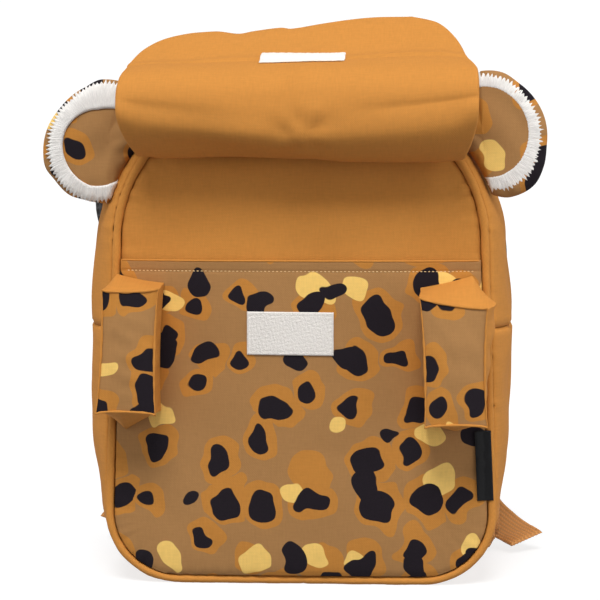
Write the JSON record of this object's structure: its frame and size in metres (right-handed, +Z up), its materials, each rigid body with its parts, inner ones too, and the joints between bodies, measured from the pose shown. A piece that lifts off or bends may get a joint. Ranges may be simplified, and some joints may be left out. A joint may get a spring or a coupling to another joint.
{
  "type": "kids animal backpack",
  "caption": "Small child's backpack standing on its flat bottom, with round ears, stuffed paws, a printed front pocket, a folded-up lid flap and padded shoulder straps.",
  "frame": {"origin": "centre of the flat bottom, on the floor that the bag stands on", "axes": "+X to the right of the bag seen from its front, +Y from the front to the back that lies against the wearer, +Z up"},
  "size_m": [0.2994, 0.2212, 0.3326],
  "materials": {
    "ochre_cloth": "matte woven polyester",
    "ochre_piping": "cloth over a round cord",
    "print_cloth": "printed woven polyester",
    "trim_pile": "short embroidered pile",
    "loop_tape": "hook and loop tape",
    "black_label": "satin ribbon",
    "black_mesh": "spacer mesh",
    "ochre_webbing": "ribbed webbing",
    "black_plastic": "moulded"
  },
  "bodies": {
    "root": {"gusset_lower": "ochre_cloth", "gusset_upper_left": "ochre_cloth", "gusset_upper_right": "ochre_cloth", "front_panel": "ochre_cloth", "back_panel": "ochre_cloth", "lid_flap": "ochre_cloth", "strap_left": "ochre_cloth", "strap_right": "ochre_cloth", "front_piping": "ochre_piping", "back_piping": "ochre_piping", "front_pocket": "print_cloth", "paw_left": "print_cloth", "paw_right": "print_cloth", "ear_left": "print_cloth", "ear_right": "print_cloth", "ear_trim_left": "trim_pile", "ear_trim_right": "trim_pile", "loop_patch": "loop_tape", "hook_strip": "loop_tape", "side_tag": "black_label", "strap_lining_left": "black_mesh", "strap_lining_right": "black_mesh", "webbing_left": "ochre_webbing", "webbing_right": "ochre_webbing", "tab_left": "ochre_webbing", "tab_right": "ochre_webbing", "anchor_left": "ochre_webbing", "anchor_right": "ochre_webbing", "buckle_left": "black_plastic", "buckle_right": "black_plastic"}
  },
  "joints": []
}
